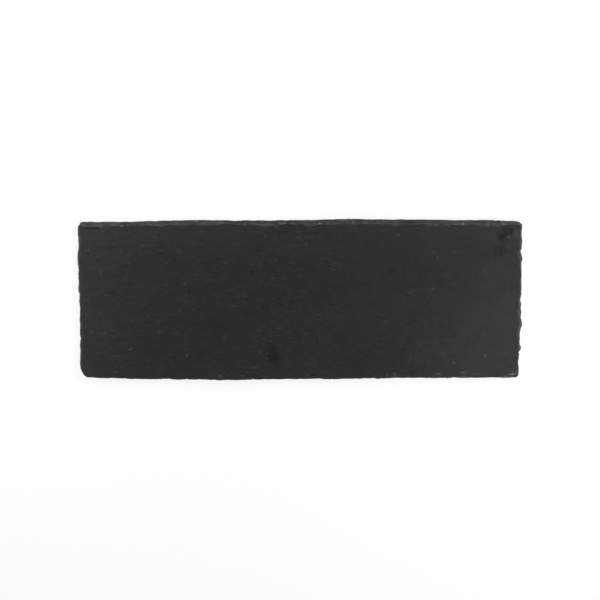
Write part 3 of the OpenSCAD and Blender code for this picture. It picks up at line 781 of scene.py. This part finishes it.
def riven_slab():
    """The slab as one closed mesh, in place of its CAD solid."""
    low, high = [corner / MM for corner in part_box("slate_slab")]
    net = top_net(low, high)
    hollows = cad_depth(net, low, high)
    depth, chipped = chip_depth(net, hollows.copy(), high.z - low.z)
    split = split_depth(net, depth)
    relief, scars = face_relief(net)
    mark_shade, tint, dents = hand_marks(net)
    inner = smooth(*CLEFT_FROM, net.rim)
    sunk = DENT_DEPTH * dents * (RIM_DENT + (1 - RIM_DENT) * inner)
    z = high.z + relief * (1 - LOST_IN_CHIPS * chipped) - depth - split - sunk
    z = np.minimum(z, high.z - SKIN / 2)
    in_hollow = smooth(*HOLLOW_SHOWS, hollows) * smooth(*HOLLOW_FROM, net.rim)
    # The shade holds painted light towards the rims and painted shade in the splits, hollows and scars,
    # as if they lay in shadow, on top of the marks.
    shade = (
        painted_rim_light(net) + mark_shade + SPLIT_SHADE * np.minimum(1, split / SPLIT_DARK)
        + HOLLOW_SHADE * in_hollow + SCAR_SHADE * scars
    )
    x, y, inward_x, inward_y = pulled_in(net, z, low, high)

    # Each part of the slab: its points, and their fresh, shade, tint and rim attributes.
    keep, ids, faces = top_faces(net)
    sides = ["top"] * len(faces)
    rim = np.stack([net.run, net.rim, depth], axis=-1)
    top = (np.stack([x, y, z], axis=-1), chipped * (1 - inner), shade, tint, rim)
    parts = [[values[keep] for values in top]]

    # The wall, in rows from the top's rim down to the underside.
    at, ring_sides = rim_ring(net)
    ring_x, ring_y, ring_z, ring_run = net.x[at], net.y[at], z[at], net.run[at]
    plain = np.zeros(len(ring_sides))
    upper, count = ids[at], int(keep.sum())
    for row in range(1, WALL_ROWS + 1):
        level = ring_z + (low.z - ring_z) * row / WALL_ROWS
        by = ragged(ring_x, ring_y, level, low, high)
        wall_x = np.clip(ring_x + by * inward_x[at], low.x, high.x)
        wall_y = np.clip(ring_y + by * inward_y[at], low.y, high.y)
        wall = np.stack([wall_x, wall_y, level], axis=-1)
        fresh = plain + (WALL_FRESH if row < WALL_ROWS else WALL_FOOT_FRESH)
        rim = np.stack([ring_run, level - ring_z, high.z - level], axis=-1)
        parts.append((wall, fresh, plain, plain, rim))
        lower = count + np.arange(len(plain))
        corners = [upper, lower, np.roll(lower, -1), np.roll(upper, -1)]
        faces += np.stack(corners, axis=-1).tolist()
        sides += ring_sides
        upper = lower
        count += len(plain)

    under, under_faces = underside(wall[:, :2], upper, count, low, high)
    plain = np.zeros(len(under))
    away = plain + FAR_FROM_RIM
    rim = np.stack([under[:, 0] + under[:, 1], -away, away], axis=-1)
    parts.append((under, plain, plain, plain, rim))
    faces += under_faces
    sides += ["under"] * len(under_faces)

    slab = added("slate_slab_riven", slab_mesh(parts, faces, sides))
    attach(slab, "root")
    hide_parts("slate_slab")
    return slab


# Materials.
class Nodes:
    """Short names for building the nodes of a material or the room."""

    def __init__(self, owner, out="ShaderNodeOutputMaterial"):
        owner.use_nodes = True
        self.owner, self.tree = owner, owner.node_tree
        self.tree.nodes.clear()
        self.out = self.add(out)
        self.coordinates = self.add("ShaderNodeTexCoord").outputs
        self.place = self.coordinates["Object"]

    def add(self, kind, inputs=None, **settings):
        node = self.tree.nodes.new(kind)
        for key, value in settings.items():
            setattr(node, key, value)
        for key, value in (inputs or {}).items():
            self.set(node.inputs[key], value)
        return node

    def set(self, socket, value):
        if isinstance(value, bpy.types.NodeSocket):
            self.tree.links.new(value, socket)
        else:
            socket.default_value = value

    def field(self, name, output="Fac"):
        """One of the mesh's own point attributes."""
        return self.add("ShaderNodeAttribute", attribute_name=name).outputs[output]

    def scaled(self, size, shift=(0, 0, 0)):
        """Coordinates in units of this many millimetres along x, y and z."""
        mapping = self.add("ShaderNodeMapping", {"Vector": self.place})
        mapping.inputs["Scale"].default_value = tuple(1 / MM / s for s in size)
        mapping.inputs["Location"].default_value = shift
        return mapping.outputs["Vector"]

    def cloud(self, size=None, detail=2.0, roughness=0.5, shift=(0, 0, 0), distortion=0.0, place=None):
        """Noise from 0 to 1, with features of this size in mm, or over other coordinates."""
        return self.add("ShaderNodeTexNoise", {
            "Vector": place or self.scaled(size, shift), "Scale": 1.0, "Detail": detail,
            "Roughness": roughness, "Distortion": distortion,
        }).outputs["Fac"]

    def specks(self, size, chance_from, radius):
        """Round dots in some cells of a grid of this size, up to this share of a cell across."""
        cell = self.add("ShaderNodeTexVoronoi", {
            "Vector": self.scaled(size), "Scale": 1.0, "Randomness": 1.0,
        })
        spread_out = 7.3
        chance = self.math("FRACT", self.times(cell.outputs["Color"], spread_out))
        reach = self.remap(chance, chance_from, 1.0, 0.0, radius)
        return self.times(self.math("LESS_THAN", cell.outputs["Distance"], reach), chance)

    def math(self, operation, a, b=0.0, c=0.0, clamp=False):
        node = self.add("ShaderNodeMath", {0: a, 1: b, 2: c}, operation=operation, use_clamp=clamp)
        return node.outputs[0]

    def times(self, a, b):
        return self.math("MULTIPLY", a, b)

    def centred(self, value):
        return self.math("SUBTRACT", value, 0.5)

    def total(self, start, *terms):
        """A starting number plus each value times its weight."""
        for value, weight in terms:
            start = self.math("MULTIPLY_ADD", value, weight, start)
        return start

    def remap(self, value, from_low, from_high, to_low=0.0, to_high=1.0):
        return self.add("ShaderNodeMapRange", {
            "Value": value, "From Min": from_low, "From Max": from_high,
            "To Min": to_low, "To Max": to_high,
        }).outputs["Result"]

    def ramp(self, value, *stops):
        node = self.add("ShaderNodeValToRGB", {"Fac": value})
        for element, (place, colour) in zip(node.color_ramp.elements, stops):
            element.position = place
            element.color = (*colour, 1)
        return node.outputs["Color"]

    def mix(self, share, a, b, blend="MIX"):
        # The sockets 6, 7 and 2 are the colours of a node that also mixes numbers and vectors.
        node = self.add("ShaderNodeMix", data_type="RGBA", blend_type=blend)
        for key, value in (("Factor", share), (6, a), (7, b)):
            self.set(node.inputs[key], value)
        return node.outputs[2]

    def grey(self, level, base):
        """A grey of this base reflectance times a level from 0 to the highest."""
        highest = 8
        full = base * highest
        share = self.math("MULTIPLY", level, 1 / highest, clamp=True)
        return self.mix(share, (0, 0, 0, 1), (full, full, full, 1))

    def bump(self, height, distance, strength, normal=None):
        inputs = {"Height": height, "Distance": distance, "Strength": strength}
        if normal is not None:
            inputs["Normal"] = normal
        return self.add("ShaderNodeBump", inputs).outputs["Normal"]

    def finish(self, kind, inputs):
        self.set(self.out.inputs["Surface"], self.add(kind, inputs).outputs[0])
        return self.owner


FACE, BROKEN = 0.0158, 0.0285  # the slate's reflectance, cleft and freshly broken
OLIVE = (1.0, 1.01, 0.84, 1)
LEDGES = 5  # how many fine ledges the cleft has from its lowest to its highest place
BAND_LENGTH, BAND_HEIGHT = 9, 0.75  # mm, of the broken stone's thin bands


def cleft_patterns(n):
    """The patterns of the cleft face that its colour, roughness and bump share."""
    # The face is busier in patches, and plainer towards its right-hand end.
    x = n.add("ShaderNodeSeparateXYZ", {"Vector": n.place}).outputs["X"]
    patch = n.cloud((26, 17, 20), detail=3, roughness=0.55, shift=(2, 1, 0))
    patch = n.remap(patch, 0.4, 0.6, 0.1, 1.0)
    grained = n.times(n.remap(patch, 0.1, 1.0, 0.4, 1.0), n.remap(x, 0.0, 0.15, 1.0, 0.2))
    pitted = n.times(patch, n.remap(x, 0.02, 0.15, 1.0, 0.3))
    stroke = n.cloud((5, 1.9, 1.5), detail=1, roughness=0.45, shift=(3, 7, 1), distortion=0.5)
    pit = n.cloud((5.5, 3.6, 3), detail=1, shift=(8, 3, 4), distortion=0.3)
    ledge = n.cloud((15, 8, 6), roughness=0.6, shift=(6, 5, 2), distortion=0.6)
    ledge = n.math("FRACT", n.times(ledge, LEDGES))
    riser = n.remap(ledge, 0.7, 1.0)
    broken = n.remap(n.cloud((8, 6, 6), shift=(9, 2, 6)), 0.44, 0.56)
    return SimpleNamespace(
        grain=n.centred(n.cloud((1.5, 1.1, 0.9), roughness=0.6)),
        stroke=n.centred(stroke),
        light_marks=n.times(n.remap(stroke, 0.64, 0.7), grained),
        dark_marks=n.times(n.remap(stroke, 0.35, 0.29), grained),
        humps=n.times(n.remap(pit, 0.7, 0.78), pitted),
        pits=n.times(n.remap(pit, 0.34, 0.27), pitted),
        # Mica specks, raised a little in the bump and painted lighter in the colour as painted glints.
        mica_glints=n.specks((20, 16, 16), chance_from=0.7, radius=0.06),
        ledges=n.times(n.math("SUBTRACT", riser, ledge), n.times(broken, grained)),
    )


def cleft_colour(n, pattern, shade):
    """The cleft face, mottled and finely marked along its grain. Its light and dark marks, humps and
    pits are painted lighter and darker in part as painted light and shade of its relief, and its mica
    specks lighter as painted glints.
    """
    blotch = n.centred(n.cloud((55, 34, 30), detail=3))
    mottle = n.centred(n.cloud((9, 6.5, 5), roughness=0.55, shift=(5, 2, 1)))
    level = n.total(
        1.0, (blotch, 0.6), (mottle, 0.4), (pattern.grain, 0.03), (pattern.light_marks, 0.5),
        (pattern.dark_marks, -0.25), (pattern.humps, 0.3), (pattern.pits, -0.15), (pattern.mica_glints, 1.6),
        (shade, 1.0),
    )
    return n.grey(level, FACE)


def broken_stone(n, pattern, shade):
    """Fresh fracture, lighter, in thin bands along the layers: its colour, and where it is. The dark
    cracks between its layers are painted shade.
    """
    along_layers = n.add("ShaderNodeMapping", {"Vector": n.field("rim", "Vector")})
    along_layers.inputs["Scale"].default_value = (1 / BAND_LENGTH, 1 / BAND_HEIGHT, 0)
    place = along_layers.outputs["Vector"]
    band = n.cloud(detail=3, roughness=0.55, distortion=0.3, place=place)
    lines = n.remap(band, 0.6, 0.68)
    shaded_cracks = n.remap(band, 0.4, 0.31)
    crumb = n.centred(n.cloud((1.3, 1.3, 0.8), detail=3, roughness=0.65))
    broad = n.centred(n.cloud((24, 24, 24), shift=(1, 4, 2)))
    level = n.total(
        1.0, (n.centred(band), 1.3), (crumb, 0.9), (broad, 1.6), (lines, 1.3), (shaded_cracks, -0.55),
        (shade, 1.0), (pattern.mica_glints, 2.0),
    )
    share = n.total(0.0, (n.field("fresh"), 1.0), (crumb, 0.8), (broad, 0.8))
    return n.grey(level, BROKEN), n.remap(share, 0.2, 0.7)


def slate_normal(n, pattern):
    """The slate's bump, from the broadest pattern to the finest."""
    scales = n.cloud((11, 2.2, 0.5), shift=(4, 1, 2), distortion=0.3)
    marks = n.total(
        0.0, (pattern.light_marks, 0.5), (pattern.dark_marks, -0.5), (pattern.humps, 0.6),
        (pattern.pits, -0.9), (pattern.mica_glints, 0.5),
    )
    fine = n.cloud((1.1, 0.8, 0.5), detail=3, roughness=0.55, shift=(1, 2, 3))
    normal = n.bump(scales, 0.12 * MM, 0.7)
    normal = n.bump(pattern.ledges, 0.36 * MM, 1.0, normal)
    normal = n.bump(marks, 0.22 * MM, 1.0, normal)
    return n.bump(fine, 0.02 * MM, 0.4, normal)


def slate_material():
    n = Nodes(bpy.data.materials.new("riven_slate"))
    # The shade attribute holds the slate's stains and tone, and painted light and shade.
    shade = n.field("shade")
    pattern = cleft_patterns(n)
    broken, edge = broken_stone(n, pattern, shade)
    colour = n.mix(edge, cleft_colour(n, pattern, shade), broken)
    return n.finish("ShaderNodeBsdfPrincipled", {
        "Base Color": n.mix(n.field("tint"), colour, OLIVE, "MULTIPLY"),
        "Roughness": n.total(0.56, (pattern.grain, 0.25), (pattern.stroke, 0.2), (edge, 0.16)),
        "Normal": slate_normal(n, pattern),
        "Specular IOR Level": 0.25,
    })


def rubber_material():
    n = Nodes(bpy.data.materials.new("moulded_rubber"))
    dust = n.cloud((3.5, 3.5, 3.5), detail=4, roughness=0.6)
    grain = n.cloud((0.35, 0.35, 0.35))
    return n.finish("ShaderNodeBsdfPrincipled", {
        "Base Color": n.ramp(dust, (0.35, (0.0085, 0.0085, 0.0088)), (0.7, (0.017, 0.017, 0.0168))),
        "Roughness": n.remap(dust, 0.3, 0.7, 0.5, 0.68),
        "Normal": n.bump(grain, 0.03 * MM, 0.6),
        "Specular IOR Level": 0.45,
    })


def adhesive_material():
    n = Nodes(bpy.data.materials.new("adhesive_foam"))
    cells = n.cloud((0.5, 0.5, 0.5), detail=3, roughness=0.6)
    return n.finish("ShaderNodeBsdfPrincipled", {
        "Base Color": n.ramp(cells, (0.3, (0.42, 0.405, 0.36)), (0.7, (0.56, 0.545, 0.5))),
        "Roughness": n.remap(cells, 0.3, 0.7, 0.72, 0.9),
        "Normal": n.bump(cells, 0.04 * MM, 0.6),
    })


def floor_material():
    """White as far as the camera and gloss see it, and matt, with the board's shadow."""
    n = Nodes(bpy.data.materials.new("white_floor"))
    path = n.add("ShaderNodeLightPath").outputs
    seen = n.math("MAXIMUM", path["Is Camera Ray"], path["Is Glossy Ray"])
    seen = n.math("MAXIMUM", seen, path["Is Transmission Ray"])
    matt = n.add("ShaderNodeBsdfDiffuse", {"Color": (0.8, 0.8, 0.8, 1)})
    glow = n.add("ShaderNodeEmission", {"Color": (1, 1, 1, 1), "Strength": 1.07})
    share = n.times(seen, 0.78)
    return n.finish("ShaderNodeMixShader", {"Fac": share, 1: matt.outputs[0], 2: glow.outputs[0]})


def dress(obj, material):
    obj.data.materials.clear()
    obj.data.materials.append(material)


# Floor, room and lamps, in metres.
FLOOR_REACH = 30
WHITE_UP_TO, DIM_FROM, DIM = 0.25, 0.6, 0.2  # heights in the room, and its brightness overhead
# [name, place, what it points at, size, watts]
LAMPS = [
    ("key", (1.2, 2.0, 2.1), (0, 0, 0), (2.2, 1.1), 66),
    ("right", (0.42, -0.06, 0.2), (0.1, 0, 0), (0.14, 0.4), 1.0),
    ("left", (-0.42, 0.05, 0.2), (-0.1, 0, 0), (0.14, 0.4), 0.7),
]


def make_floor():
    mesh = bpy.data.meshes.new("floor")
    corners = [(-1, -1), (1, -1), (1, 1), (-1, 1)]
    mesh.from_pydata([(x * FLOOR_REACH, y * FLOOR_REACH, 0) for x, y in corners], [], [(0, 1, 2, 3)])
    floor = added("floor", mesh)
    dress(floor, floor_material())


def make_room():
    """A room that is white around the horizon and dim overhead."""
    world = bpy.data.worlds.new("studio")
    bpy.context.scene.world = world
    n = Nodes(world, "ShaderNodeOutputWorld")
    direction = n.add("ShaderNodeSeparateXYZ", {"Vector": n.coordinates["Generated"]})
    brightness = n.remap(direction.outputs["Z"], WHITE_UP_TO, DIM_FROM, 1.0, DIM)
    n.finish("ShaderNodeBackground", {"Strength": brightness})


def softbox(name, place, aim, size, watts):
    light = bpy.data.lights.new(name, "AREA")
    light.shape = "RECTANGLE"
    light.size, light.size_y = size
    light.energy = watts
    obj = added(name, light)
    obj.location = place
    obj.rotation_mode = "QUATERNION"
    obj.rotation_quaternion = (Vector(aim) - Vector(place)).to_track_quat("-Z", "Y")
    obj.visible_camera = False


make_camera()
dress(riven_slab(), slate_material())
rubber, adhesive = rubber_material(), adhesive_material()
for name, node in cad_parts.items():
    if name.startswith("rubber_foot"):
        dress(node, rubber)
    elif name.startswith("adhesive_disc"):
        dress(node, adhesive)
make_floor()
make_room()
for lamp in LAMPS:
    softbox(*lamp)
